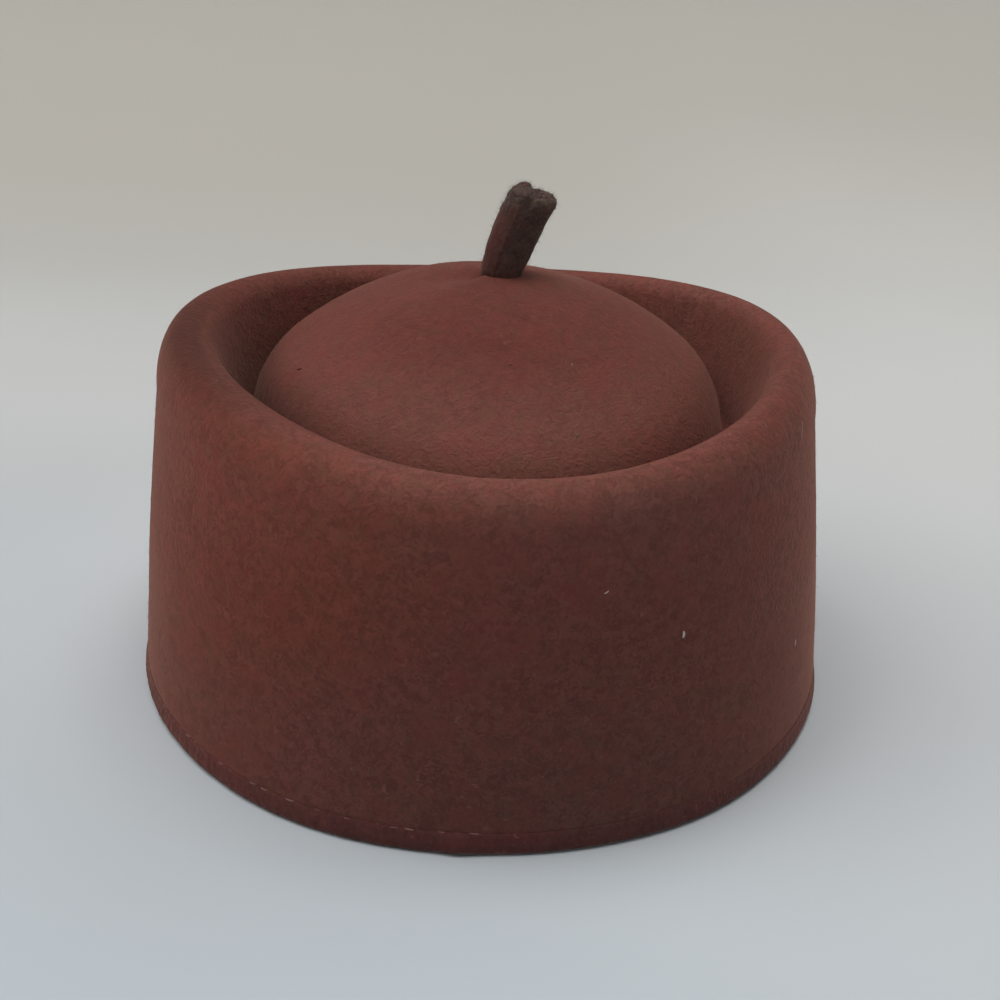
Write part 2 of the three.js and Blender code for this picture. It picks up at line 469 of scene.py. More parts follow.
# %% The cap's outside, from the hem line to the top of the dome
def outside():
    shoulder_size = WALL_TOP[0] - RIM[0], RIM[1] - WALL_TOP[1]
    shoulder = arc((RIM[0], WALL_TOP[1]), *shoulder_size, 0, 90, 18)
    roll_turn = math.degrees(math.atan(math.tan(INNER_SLOPE) * RIM_INNER[0] / RIM_INNER[1]))
    roll = arc((RIM[0], RIM[1] - RIM_INNER[1]), *RIM_INNER, 90, 90 + roll_turn, 12)
    crease_centre = CREASE[0], CREASE[1] + CREASE_ROUND
    crease_turn = math.degrees(INNER_SLOPE) - 90, -90 - math.degrees(DOME_SIDE_SLOPE)
    crease = arc(crease_centre, CREASE_ROUND, CREASE_ROUND, *crease_turn, 10)
    side_turn = 90 - math.degrees(DOME_SIDE_SLOPE), 90 - math.degrees(dome_slope(DOME_SIDE_START))
    side_centre = (
        DOME_SIDE_START - DOME_SIDE_ROUND * math.sin(dome_slope(DOME_SIDE_START)),
        dome_height(DOME_SIDE_START) - DOME_SIDE_ROUND * math.cos(dome_slope(DOME_SIDE_START)),
    )
    side = arc(side_centre, DOME_SIDE_ROUND, DOME_SIDE_ROUND, *side_turn, 16)
    radii = DOME_SIDE_START * np.linspace(1, 0, 50)[1:]
    dome = np.column_stack((radii, dome_height(radii)))
    wall = line(WALL_FOOT, WALL_TOP, 62, WALL_FULLNESS)
    slope = line(roll[-1], crease[0], 18)
    flank = line(crease[-1], side[0], 6)
    return np.vstack(([WALL_FOOT], wall, shoulder, roll[1:], slope, crease, flank, side, dome))


outer = outside()
inner = moved_in(outer, FELT)[::-1][::3]
inner[0, 0] = 0
edge = arc((WALL_FOOT[0] - 0.45, HEM_LINE + 0.4), 0.48, 0.45, 0, -100, 5)
edge_end = (WALL_FOOT[0] - FELT, HEM_LINE + 0.4)
cap_section = np.vstack((outer[::-1], edge, [edge_end], inner[::-1]))
print(len(cap_section), "points in the cap's section")

# %% [markdown]
# ## Turning and settling the felt
# A worn cap is never quite round and level. The same small rule that bent the construction
# model bends the felt here: the rim is higher at the sides than at front and back, the crown
# leans, and the dome sits a little off centre. A few small dents go with it: the rim is
# tucked and pinched inwards at the left, and the foot bulges a little in two places.
# The cap, the hem and the stitches share the rule, so it is a function that adds its nodes
# to whichever tree asks. Directions round the cap are angles in degrees: 0 is +X, to the
# right, and -90 is the front.

# %% The cap's settled form, as nodes
FORM = {
    "Rim Height": RIM[1] * MM,
    "Side Lift": 4.6 * MM,
    "Side Twist": 0.7 * MM,
    "Side Lean": 1.2 * MM,
    "Saddle Radius": 66.5 * MM,
    "Crown Shift": -1.2 * MM,
    "Dome Shift": 2.3 * MM,
    "Dome Shift Start": 63.0 * MM,
    "Dome Shift End": 74.0 * MM,
    "Rim Tuck": 2.0 * MM,
    "Rim Pinch": 3.4 * MM,
}
TUCK_SIDE = {"azimuth": 185, "narrow": 5}
TUCK_RADII = (74 * MM, 87 * MM)
TUCK_HEIGHTS = (60 * MM, 90 * MM)
PINCH_SIDE = {"azimuth": 214, "narrow": 3}
PINCH_RING = (64 * MM, 72 * MM, 74 * MM, 82 * MM)
PINCH_HEIGHTS = (60 * MM, 70 * MM)
FOOT_BULGES = [
    {"azimuth": -117, "narrow": 14, "size": 1.1 * MM},
    {"azimuth": -53, "narrow": 30, "size": 0.7 * MM},
]
FOOT_BULGE_TOP = 34.0 * MM
AXIS_CLEARANCE = 0.01 * MM


def around(x, y):
    """The distance from the axis, and how nearly a point faces an azimuth, from 0 to 1."""
    radius = (x * x + y * y).math("SQRT").math("MAXIMUM", AXIS_CLEARANCE)

    def facing(azimuth, narrow):
        way = math.radians(azimuth)
        ahead = (x * math.cos(way) + y * math.sin(way)) / radius
        return ahead.math("MAXIMUM", 0.0) ** narrow

    return radius, facing


def settled(graph, place, form):
    x, y, z = place.xyz()
    radius, facing = around(x, y)
    up = z / form["Rim Height"]
    across = (x * x - y * y) / (radius * radius) * form["Side Lift"]
    askew = x * y * 2 / (radius * radius) * form["Side Twist"]
    reach = ((radius / form["Saddle Radius"]) ** 2).math("MINIMUM", 1.0)
    saddle = up * up * reach * (across + askew)
    lean = up * x / (HEM_RADIUS * MM) * form["Side Lean"]
    dome = radius.smooth(form["Dome Shift Start"], form["Dome Shift End"], 1.0, 0.0)
    inside = radius.smooth(*TUCK_RADII, 1.0, 0.0) * z.smooth(*TUCK_HEIGHTS)
    tuck = inside * facing(**TUCK_SIDE) * form["Rim Tuck"]
    slope = radius.band(*PINCH_RING) * z.smooth(*PINCH_HEIGHTS)
    pinch = slope * facing(**PINCH_SIDE) * form["Rim Pinch"]
    bulge = 0.0
    for spot in FOOT_BULGES:
        bulge = facing(spot["azimuth"], spot["narrow"]) * spot["size"] + bulge
    low = z.smooth(0.0, FOOT_BULGE_TOP, 1.0, 0.0)
    wider = (low * bulge - pinch) / radius + 1.0
    new_x = x * wider + up * form["Crown Shift"]
    new_y = y * wider + dome * form["Dome Shift"]
    return graph.join(new_x, new_y, z + saddle - lean - tuck)


print("settling has", len(FORM), "sizes and", len(FOOT_BULGES), "bulges at the foot")


# %% Turning a section, as nodes
def store(graph, geometry, name, value, domain="POINT"):
    plugs = {"Geometry": geometry, "Name": name, "Value": value}
    kept = graph.add("GeometryNodeStoreNamedAttribute", plugs, data_type="FLOAT", domain=domain)
    return kept["Geometry"]


def stored(graph, name):
    return graph.add("GeometryNodeInputNamedAttribute", {"Name": name}, data_type="FLOAT")[0]


def spun(graph, section, columns):
    """The section turned about Z: row i of a grid takes the place of the section's point i."""
    line = graph.add("GeometryNodeObjectInfo", {"Object": section})["Geometry"]
    rows = graph.add("GeometryNodeAttributeDomainSize", {"Geometry": line})["Point Count"]
    grid = graph.add("GeometryNodeMeshGrid", {"Vertices X": rows, "Vertices Y": columns + 1})
    index = graph.add("GeometryNodeInputIndex")[0]
    row = (index / (columns + 1)).math("FLOOR")
    sheet = store(graph, grid["Mesh"], "along", row / rows)
    column = index - row * (columns + 1)
    plugs = {"Geometry": line, "Value": graph.add("GeometryNodeInputPosition")[0], "Index": row}
    point = graph.add("GeometryNodeSampleIndex", plugs, data_type="FLOAT_VECTOR", domain="POINT")
    radius, _, height = point[0].xyz()
    turn = column / columns * math.tau
    place = graph.join(radius * turn.math("COSINE"), radius * turn.math("SINE"), height)
    plugs = {"Geometry": sheet, "Position": place}
    moved = graph.add("GeometryNodeSetPosition", plugs)["Geometry"]
    plugs = {"Geometry": moved, "Distance": 0.004 * MM}
    return graph.add("GeometryNodeMergeByDistance", plugs)["Geometry"]


print("a section is turned about Z with spun")


# %% [markdown]
# ## Where light and shade are painted on the cap
# Light and shade are painted into the cap's colour in rings and on sides. The crease, the
# dome's left edge, the inner slope at the left front and the rim's top at the left are painted
# darker, painted shade, and the lower right front of the wall is painted darker and greyer,
# painted shade too. The rim's top at the front, the inner slope at the back and right, the
# dome's front, a patch beside the stalk and the upper wall at the left front are painted paler,
# painted light. The left front is warmer. Each place is a ring, full between two radii, and a
# side, strongest at one azimuth. Two short lists hold the places, and the few that follow the
# height or the stalk are written out.

# %% The painted places, in millimetres and degrees
RINGS = {
    "dome": (28, 56, 62, 67),
    "dome_edge": (52, 59, 62, 66),
    "crease": (53, 64, 64, 76),
    "left_slope": (60, 66, 74, 80),
    "inner_slope": (62, 68, 74, 80),
    "rim_top": (73, 77, 82, 88),
}
# Painted shade, darker: the dome's left edge, the inner slope at the left front and the rim's top at the
# left.
PAINTED_SHADE_PLACES = [
    {"ring": "dome_edge", "azimuth": 203, "narrow": 8, "strength": 0.3},
    {"ring": "left_slope", "azimuth": 208, "narrow": 6, "strength": 0.4},
    {"ring": "rim_top", "azimuth": 195, "narrow": 5, "strength": 0.65},
]
# Painted light, paler: the rim's top at the front, the inner slope at the back and right, and the dome's
# front.
PAINTED_LIGHT_PLACES = [
    {"ring": "rim_top", "azimuth": 264, "narrow": 1.2, "strength": 0.45},
    {"ring": "inner_slope", "azimuth": 92, "narrow": 0.6, "strength": 0.42},
    {"ring": "inner_slope", "azimuth": 30, "narrow": 1.0, "strength": 0.2},
    {"ring": "dome", "azimuth": -90, "narrow": 1.0, "strength": 0.74},
]
# Faint painted light on the dome's outer part, and painted light on the upper wall of the warm side.
DOME_PAINTED_LIGHT = 0.03
WARM_SIDE = {"azimuth": 230, "narrow": 5}
WARM_SIDE_PAINTED_LIGHT = 0.2
# Painted shade, darker and greyer, low on the front right of the wall.
LOW_SHADE_SIDE = {"azimuth": -74, "narrow": 2.2}
LOW_SHADE_STRENGTH = 0.5
# Painted light beside the stalk, where its shadow falls on the dome.
BY_STALK = (16, 8)
BY_STALK_PAINTED_LIGHT = 0.35


def cap_painted_light_shade_and_tint(place):
    """How much painted shade, painted light and warmer tint each point of the cap takes, from 0 to 1."""
    x, y, height = (distance / MM for distance in place.xyz())
    radius, facing = around(x, y)

    def at(spot):
        side = facing(spot["azimuth"], spot["narrow"])
        return radius.band(*RINGS[spot["ring"]]) * side * spot["strength"]

    # Painted shade in the crease, weaker at the right, front and back.
    crease = radius.band(*RINGS["crease"]) * radius.smooth(63, 67, 1.0, 0.65)
    less_at_right = x.smooth(-30, 55, 1.0, 0.12)
    less_at_front = facing(-90, 1.5).smooth(0.0, 1.0, 1.0, 0.1)
    less_at_back = facing(115, 3).smooth(0.0, 1.0, 1.0, 0.4)
    shelter = crease * less_at_right * less_at_front * less_at_back
    for spot in PAINTED_SHADE_PLACES:
        shelter = shelter.math("MAXIMUM", at(spot))
    warm = radius.smooth(78, 84) * facing(**WARM_SIDE)
    # Painted light, paler: on the dome, at the listed places, beside the stalk and on the upper wall at
    # the left front.
    faded = radius.band(*RINGS["dome"]) * DOME_PAINTED_LIGHT
    for spot in PAINTED_LIGHT_PLACES:
        faded = faded + at(spot)
    east = x - BY_STALK[0]
    north = y - BY_STALK[1]
    beside_stalk = (east * east + north * north).math("SQRT")
    faded = faded + beside_stalk.smooth(4, 16, 1.0, 0.0) * BY_STALK_PAINTED_LIGHT
    faded = faded + warm * height.smooth(55, 80) * WARM_SIDE_PAINTED_LIGHT
    # Painted shade low on the front right of the wall, darker and greyer.
    low = radius.smooth(80, 84) * height.smooth(5, 75, 1.0, 0.4)
    return {
        "shelter": shelter,
        "soiled": low * facing(**LOW_SHADE_SIDE) * LOW_SHADE_STRENGTH,
        "warmed": warm * height.smooth(15, 60, 0.1, 1.0),
        "faded": faded,
    }


# The count is of the places with painted shade and painted light.
print(len(PAINTED_SHADE_PLACES) + len(PAINTED_LIGHT_PLACES), "worn places on rings")

# %% [markdown]
# ## The cap
# The whole shell is the section turned about Z and then settled. What the felt needs to know
# is stored on the way: the painted light and shade and the warmer tint, where the mottle is
# strong, where the face is pressed smooth, and how thick the nap stands. The section is followed
# from the top of the dome outwards and down the wall, then up the inside, so one number along
# it, from 0 to 1, tells these apart. The mottle is weaker on the dome, handling has pressed the
# lower wall smoother, and the inside has less nap.

# %% The cap
COARSE_FROM = (0.20, 0.30)
PRESSED_FROM = (0.58, 0.64)
INSIDE_FROM = (0.74, 0.76)
INSIDE_NAP = 0.25
SWAY_SIZE = 55
PUCKER_SIZE = 7


def cap_tree(values):
    graph, inputs = geometry_tree("Turned felt cap", values)
    shell = spun(graph, inputs["Section"], inputs["Columns"])
    place = graph.add("GeometryNodeInputPosition")[0]
    normal = graph.add("GeometryNodeInputNormal")[0]
    plugs = {"Geometry": shell, "Position": settled(graph, place, inputs)}
    shell = graph.add("GeometryNodeSetPosition", plugs)["Geometry"]
    along = stored(graph, "along")
    kept_on_mesh = {
        **cap_painted_light_shade_and_tint(place),
        "coarse": along.smooth(*COARSE_FROM),
        "pressed": along.smooth(*PRESSED_FROM),
        "nap": along.smooth(*INSIDE_FROM, 1.0, INSIDE_NAP),
    }
    for name, amount in kept_on_mesh.items():
        shell = store(graph, shell, name, amount)
    _, _, height = place.xyz()
    free = height.smooth(8 * MM, 30 * MM)
    sway = graph.noise(place, SWAY_SIZE * MM, 1.0) - 0.5
    pucker = graph.noise(place, PUCKER_SIZE * MM, 2.0) - 0.5
    push = free * sway * inputs["Sway"] + pucker * inputs["Pucker"]
    offset = graph.add("ShaderNodeVectorMath", {0: normal, 3: push}, operation="SCALE")[0]
    plugs = {"Geometry": shell, "Offset": offset}
    shell = graph.add("GeometryNodeSetPosition", plugs)["Geometry"]
    end_tree(graph, shell, inputs["Material"])
    return graph


def section_object(name, section):
    points = [(radius, 0, height) for radius, height in section]
    return placed(name, plain_mesh(name, points, []))


cap_line = section_object("cap_section", cap_section)
cap_values = {
    "Section": cap_line,
    "Columns": 360,
    **FORM,
    "Sway": 0.6 * MM,
    "Pucker": 0.16 * MM,
    "Material": crown_felt,
}
felt_cap = run_tree(cap_tree(cap_values), "felt_cap", cap_values)
bpy.data.objects.remove(cap_line)

# %% [markdown]
# ## The turned-up hem
# The lower edge is folded under and up inside, and sewn through. Below the sewing the felt
# is pinched into small upright ridges, it swells a little, and the fold ends in a join at
# the front. This ring needs many more columns than the cap to hold ridges a millimetre
# apart, so it is a piece of its own. Its upper edge and the cap's lower one roll in
# together, which makes the groove that the stitches lie in.

# %% The hem's section
HEM_FOOT = 0.7
HEM_FOLD = (1.5, 2.3)
HEM_INSIDE = HEM_RADIUS - 2 * FELT
HEM_TURN_UP = 9.0
HEM_LIP = (94.4, 5.0)
top_outside = arc((HEM_LIP[0] - 0.5, HEM_LIP[1] + 0.4), 0.45, 0.45, 110, 5, 6)
fold_out = line(HEM_LIP, (HEM_RADIUS, HEM_FOLD[1]), 6, 0.1)
foot_out = arc((HEM_RADIUS - HEM_FOLD[0], HEM_FOLD[1]), *HEM_FOLD, 0, -90, 9)
foot_in = arc((HEM_INSIDE + HEM_FOOT, HEM_FOOT), HEM_FOOT, HEM_FOOT, -90, -180, 4)
fold_in = line((HEM_INSIDE, HEM_FOOT), (HEM_INSIDE, HEM_TURN_UP - 0.6), 8)
cut = arc((HEM_INSIDE + 0.6, HEM_TURN_UP - 0.6), 0.6, 0.6, 180, 80, 4)
hidden = [(HEM_INSIDE + 1.8, HEM_TURN_UP - 0.4), (HEM_INSIDE + 1.8, HEM_LINE - 0.6)]
hem_section = np.vstack((top_outside, fold_out, foot_out, foot_in, fold_in, cut, hidden))
hem_section = np.vstack((hem_section, hem_section[:1]))
print(len(hem_section), "points in the hem's section")


# %% The hem
JOIN_SIDE = {"azimuth": -92.5, "narrow": 1400}
LIFT_SIDE = {"azimuth": -48, "narrow": 8}
CLOSED_SIDE = {"azimuth": -25, "narrow": 2}
LEAST_CLOSED = 0.35
# Painted shade, darker and greyer, on the hem's front right.
HEM_LOW_SHADE_SIDE = {"azimuth": -70, "narrow": 1.5}
HEM_LOW_SHADE_STRENGTH = 0.35
RIDGE_STRETCH = 0.22
RIDGE_SHADE = 0.35
RIGHT_CALM = 0.45
LUMP_SIZE = 5
LUMP_STRETCH = 0.5


def hem_tree(values):
    graph, inputs = geometry_tree("Turned-up hem", values)
    ring = spun(graph, inputs["Section"], inputs["Columns"])
    place = graph.add("GeometryNodeInputPosition")[0]
    east, north, _ = graph.add("GeometryNodeInputNormal")[0].xyz()
    outwards = graph.join(east, north, 0.0)
    plugs = {"Geometry": ring, "Position": settled(graph, place, inputs)}
    ring = graph.add("GeometryNodeSetPosition", plugs)["Geometry"]
    x, y, z = place.xyz()
    _, facing = around(x, y)
    upright = graph.join(x, y, z * RIDGE_STRETCH)
    ridges = graph.noise(upright, inputs["Ridge Pitch"], 2.0, 0.6) - 0.5
    rounder = graph.join(x, y, z * LUMP_STRETCH)
    lumps = graph.noise(rounder, LUMP_SIZE * MM, 2.0) - 0.5
    off_floor = z.smooth(0.1 * MM, 1.2 * MM, 0.25, 1.0)
    below_stitches = z.smooth(4.6 * MM, 5.8 * MM, 1.0, 0.3)
    clear = off_floor * below_stitches
    calm = x.smooth(-6 * MM, 6 * MM, 1.0, RIGHT_CALM)
    relief = calm * (ridges * inputs["Ridge Depth"] + lumps * inputs["Lumps"])
    push = clear * (relief + facing(**JOIN_SIDE) * inputs["Join"])
    # Painted shade: the colour is darkened between the ridges below the stitches and close to the floor.
    sunk = (0.5 - ridges * 1.6) * RIDGE_SHADE * z.smooth(4.5 * MM, 5.5 * MM, 1.0, 0.0)
    painted_floor_shade = z.smooth(0.2 * MM, 4 * MM, 0.1, 0.0)
    shelter = (sunk * clear + painted_floor_shade).math("MAXIMUM", 0.0)
    ring = store(graph, ring, "shelter", shelter)
    # Painted shade, darker and greyer, on the hem's front right.
    ring = store(graph, ring, "soiled", facing(**HEM_LOW_SHADE_SIDE) * HEM_LOW_SHADE_STRENGTH)
    lifted = facing(**LIFT_SIDE) * inputs["Lift"] * z.smooth(0.0, 5 * MM, 1.0, 0.0)
    closed = facing(**CLOSED_SIDE) * x.smooth(8 * MM, 45 * MM)
    closed = closed.math("MAXIMUM", LEAST_CLOSED)
    rise = lifted + closed * z.smooth(4.4 * MM, 5.3 * MM) * inputs["Lip Rise"]
    sideways = graph.add("ShaderNodeVectorMath", {0: outwards, 3: push}, operation="SCALE")[0]
    plugs = {0: sideways, 1: graph.join(0.0, 0.0, rise)}
    offset = graph.add("ShaderNodeVectorMath", plugs, operation="ADD")[0]
    ring = graph.add("GeometryNodeSetPosition", {"Geometry": ring, "Offset": offset})["Geometry"]
    end_tree(graph, ring, inputs["Material"])
    return graph


hem_line = section_object("hem_section", hem_section)
hem_values = {
    "Section": hem_line,
    "Columns": 1500,
    **FORM,
    "Ridge Pitch": 1.1 * MM,
    "Ridge Depth": 0.55 * MM,
    "Lumps": 0.4 * MM,
    "Join": 0.6 * MM,
    "Lift": 0.1 * MM,
    "Lip Rise": 0.9 * MM,
    "Material": hem_felt,
}
turned_hem = run_tree(hem_tree(hem_values), "turned_hem", hem_values)
bpy.data.objects.remove(hem_line)

# %% [markdown]
# ## The stitches that hold the hem
# A machine has sewn once round, just under four millimetres to a stitch, with thread near
# the felt's own colour. Outside and inside show the same line of short threads, and at the
# right the outside ones sink into the felt. A node tree places one small thread body many
# times round the hem, with its seed fixed, so that each is a little longer, deeper or more
# askew than the next.

# %% The stitches
BURIED_WAY = (0.82, -0.57)
HEIGHT_JITTER = 0.12
ASKEW = (-0.10, 0.06)
STITCH_SIZES = (0.82, 1.08)


def random(graph, low, high, seed):
    plugs = {2: low, 3: high, 8: seed}
    return graph.add("FunctionNodeRandomValue", plugs, data_type="FLOAT")[1]


def stitch_tree(values):
    graph, inputs = geometry_tree("Row of stitches", values)
    body = graph.add("GeometryNodeMeshUVSphere", {"Segments": 8, "Rings": 7, "Radius": 1.0})["Mesh"]
    side, up, along = graph.add("GeometryNodeInputPosition")[0].xyz()
    dip = along * along * inputs["Dip"]
    half = inputs["Thickness"] * 0.5
    shape = graph.join(along * inputs["Length"] * 0.5, side * half - dip, up * half)
    body = graph.add("GeometryNodeSetPosition", {"Geometry": body, "Position": shape})["Geometry"]
    index = graph.add("GeometryNodeInputIndex")[0]
    seed = inputs["Seed"]
    turn = index / inputs["Count"] * math.tau
    east = turn.math("COSINE")
    north = turn.math("SINE")
    ahead = east * BURIED_WAY[0] + north * BURIED_WAY[1]
    buried = ahead.smooth(0.55, 0.85) * inputs["Buried"]
    radius = inputs["Radius"] + random(graph, -1.0, 1.0, seed) * inputs["Depth Jitter"] - buried
    jitter = random(graph, -HEIGHT_JITTER * MM, HEIGHT_JITTER * MM, seed + 1)
    place = graph.join(radius * east, radius * north, inputs["Height"] + jitter)
    plugs = {"Count": inputs["Count"], "Position": settled(graph, place, inputs)}
    spots = graph.add("GeometryNodePoints", plugs)[0]
    rotation = graph.join(0.0, random(graph, *ASKEW, seed + 2), turn - math.pi / 2)
    size = random(graph, *STITCH_SIZES, seed + 3)
    plugs = {"Points": spots, "Instance": body, "Rotation": rotation, "Scale": size}
    row = graph.add("GeometryNodeInstanceOnPoints", plugs)["Instances"]
    row = store(graph, row, "tone", random(graph, 0.0, 1.0, seed + 4), "INSTANCE")
    end_tree(graph, row, inputs["Material"])
    return graph


STITCH_PITCH = 3.8
stitch_count = round(math.tau * HEM_LIP[0] / STITCH_PITCH)
outer_row = {
    **FORM,
    "Count": stitch_count,
    "Radius": (WALL_FOOT[0] + 0.05) * MM,
    "Height": (HEM_LINE - 0.1) * MM,
    "Length": 3.5 * MM,
    "Thickness": 0.45 * MM,
    "Dip": 0.40 * MM,
    "Depth Jitter": 0.12 * MM,
    "Buried": 0.6 * MM,
    "Seed": 11,
    "Material": thread,
}
inner_row = {
    **outer_row,
    "Radius": (HEM_INSIDE + 0.05) * MM,
    "Dip": -0.30 * MM,
    "Buried": 0.0,
    "Seed": 31,
}
graph = stitch_tree(outer_row)
hem_stitches = run_tree(graph, "hem_stitches", outer_row)
inner_stitches = run_tree(graph, "inner_stitches", inner_row)
print(stitch_count, "stitches in each row")

# %% [markdown]
# ## The stalk
# The stalk is a strip of darker felt rolled up tight, sewn to the top of the dome and cut
# off by hand. Its section is a spiral, so the outer edge of the strip shows as a step down
# one side. The cut end shows the spiral too, as a groove between two lobes, of which the
# left one stands higher. The shape is one formula over the turn and the height, so a grid of
# points in plain mesh code is the clearest way to write it. Small noise with a fixed seed
# roughens it, and three attributes tell where the cut end is frayed, where the nap is thick,
# and where the left flank is redder.

# %% Named sizes of the stalk, in millimetres
STALK_FOOT = (1.1, 3.0)
STALK_RISE = 21.0
STALK_LEAN = 8.0
STALK_BEND = 0.5
STALK_FOOT_RADIUS = 5.2
STALK_TIP_RADIUS = 6.1
STALK_COLUMNS = 160
SHAFT_ROWS = 80
CUT_ROWS = 26
STRIP_EDGE = math.radians(-108)
STRIP_STEP = 0.25
THREE_SIDED = 0.022
FIVE_SIDED = 0.014
SWELL_RATE = 1.5
CUT_SLOPE = 2.2
CUT_ROUND = 1.6
CUT_ROUND_POWER = 9
CUT_LIFT = 0.8
CUT_REACH_POWER = 6
LOBE_STEP = 1.8
LOBE_EDGE = -0.2
LOBE_BLUR = 0.17
COIL_TURNS = 1.6
COIL_DEPTH = 0.45
COIL_WIDTH = 0.13
COIL_START = 0.4
SUNK = 0.3
FRAY_DEPTH = 7.0
FRAY_FADE = 5.0
ROUGH = 0.16
ROUGH_AT_TIP = 0.42
FINE_ROUGH = (1.1, 0.6)
BROAD_ROUGH_SIZE = 3.2
ROUGH_SEED = 4
SHAFT_NAP = 0.25
FLANK_START = 0.05
FLANK_FADE = 0.7
print("stalk reaches", [round(v / MM, 1) for v in stalk_high])


# %% The stalk's shape
def past_edge(turn):
    """0 just past the strip's free edge, rising to 1 all the way round."""
    return np.mod(turn - STRIP_EDGE, math.tau) / math.tau


def skin_radius(turn, part):
    swell = np.sin(math.pi / 2 * np.minimum(1, SWELL_RATE * part))
    radius = STALK_FOOT_RADIUS + (STALK_TIP_RADIUS - STALK_FOOT_RADIUS) * swell
    ripple = THREE_SIDED * np.cos(3 * turn + 1) + FIVE_SIDED * np.cos(5 * turn + 6 * part)
    return radius * (1 + ripple) + STRIP_STEP * (past_edge(turn) - 0.5)


def cut_height(turn, reach):
    """How far the cut end stands above its middle, along the stalk."""
    across = reach * np.cos(turn)
    lobes = -0.5 * LOBE_STEP * np.tanh((across - LOBE_EDGE) / LOBE_BLUR)
    coil = np.abs(np.mod(COIL_TURNS * reach - past_edge(turn) + 0.5, 1) - 0.5)
    groove = -COIL_DEPTH * np.exp(-((coil / COIL_WIDTH) ** 2)) * np.minimum(1, reach / COIL_START)
    rounding = CUT_ROUND * reach**CUT_ROUND_POWER
    return CUT_LIFT + CUT_SLOPE * across + lobes + groove - rounding


def stalk_centre(part):
    aside = STALK_LEAN * part - STALK_BEND * np.sin(math.pi * part)
    foot = dome_height(np.hypot(STALK_FOOT[0], STALK_FOOT[1] - FORM["Dome Shift"] / MM))
    return np.array([STALK_FOOT[0] + aside, STALK_FOOT[1], foot + STALK_RISE * part])


def stalk_point(turn, part, reach, height):
    """A point round the stalk: part of its length, reach towards its skin, height past that."""
    along = stalk_centre(part + 0.05) - stalk_centre(part - 0.05)
    along /= np.linalg.norm(along)
    across = np.array([0.0, 1.0, 0.0])
    aside = np.cross(across, along)
    radius = reach * skin_radius(turn, part)
    return (
        stalk_centre(part)
        + aside * radius * math.cos(turn)
        + across * radius * math.sin(turn)
        + along * height
    )


print("stalk's foot and tip centres:", *(stalk_centre(part).round(1) for part in (0, 1)))


# %% The stalk's mesh
def closed_shell(rings, first, last):
    """Faces over rings of points, closed by one point at each end."""
    count = len(rings[0])
    points = [first, *(point for ring in rings for point in ring), last]
    faces = []
    for side in range(count):
        beside = (side + 1) % count
        faces.append((0, 1 + beside, 1 + side))
        for start in range(1, 1 + count * (len(rings) - 1), count):
            low, high = start, start + count
            faces.append((low + side, low + beside, high + beside, high + side))
        top = 1 + count * (len(rings) - 1)
        faces.append((top + side, top + beside, len(points) - 1))
    return points, faces


def stalk_rings():
    turns = np.linspace(0, math.tau, STALK_COLUMNS, endpoint=False)
    rings = []
    for part in np.linspace(0, 1, SHAFT_ROWS):
        lift = part**CUT_REACH_POWER
        rings.append([stalk_point(t, part, 1, lift * cut_height(t, 1)) for t in turns])
    for reach in np.linspace(1, 0, CUT_ROWS)[1:-1]:
        rings.append([stalk_point(t, 1, reach, cut_height(t, reach)) for t in turns])
    for point in rings[0]:
        north = point[1] - FORM["Dome Shift"] / MM
        point[2] = dome_height(min(math.hypot(point[0], north), DOME_RADIUS)) - SUNK
    return rings


def roughened(points, more_at):
    """Points pushed about by small noise, more so near the cut end."""
    noise.seed_set(ROUGH_SEED)
    moved = []
    for x, y, z in points:
        here = Vector((x, y, z))
        fine = noise.noise_vector(here / FINE_ROUGH[0]) * FINE_ROUGH[1]
        push = fine + noise.noise_vector(here / BROAD_ROUGH_SIZE)
        moved.append(here + push * (ROUGH + ROUGH_AT_TIP * more_at(z)))
    return moved


def near_tip(z):
    """0 on the shaft, rising to 1 at the cut end."""
    return min(1, max(0, (z - stalk_high.z / MM + FRAY_DEPTH) / FRAY_FADE))


def leftward(turn):
    """1 on the stalk's left side, 0 at its front and right."""
    return min(1, max(0, (-math.cos(turn) - FLANK_START) / FLANK_FADE))


stalk_foot = stalk_centre(0) - [0, 0, SUNK]
points, faces = closed_shell(stalk_rings(), stalk_foot, stalk_centre(1))
points = roughened(points, near_tip)
stalk_mesh = plain_mesh("rolled_stalk", points, faces)
stalk_mesh.materials.append(rolled_felt)
nap = stalk_mesh.attributes.new("nap", "FLOAT", "POINT")
frayed = stalk_mesh.attributes.new("frayed", "FLOAT", "POINT")
flank = stalk_mesh.attributes.new("flank", "FLOAT", "POINT")
for number, spot in enumerate(stalk_mesh.vertices):
    tip = near_tip(spot.co.z / MM)
    column = (number - 1) % STALK_COLUMNS
    nap.data[number].value = SHAFT_NAP + (1 - SHAFT_NAP) * tip
    frayed.data[number].value = tip
    flank.data[number].value = leftward(math.tau * column / STALK_COLUMNS) * (1 - tip)
for face in stalk_mesh.polygons:
    face.use_smooth = True
rolled_stalk = placed("rolled_stalk", stalk_mesh)
report(rolled_stalk)

# %% [markdown]
# ## Loose fibres
# Pressed felt still has fibres that lie loosely on its face and soften its outline. Each is
# a fine tapering hair with its tip bent over a little. A hair system could draw them, but
# here they are plain meshes that stay with the cap wherever it goes. Points are scattered
# over a finished piece, one hair body is placed on each, and each is turned and sized by
# seeded random numbers. The cap's hairs lie nearly flat, and the stalk's stand up more.

# %% The nap
HAIR_SIZES = (0.5, 1.3)


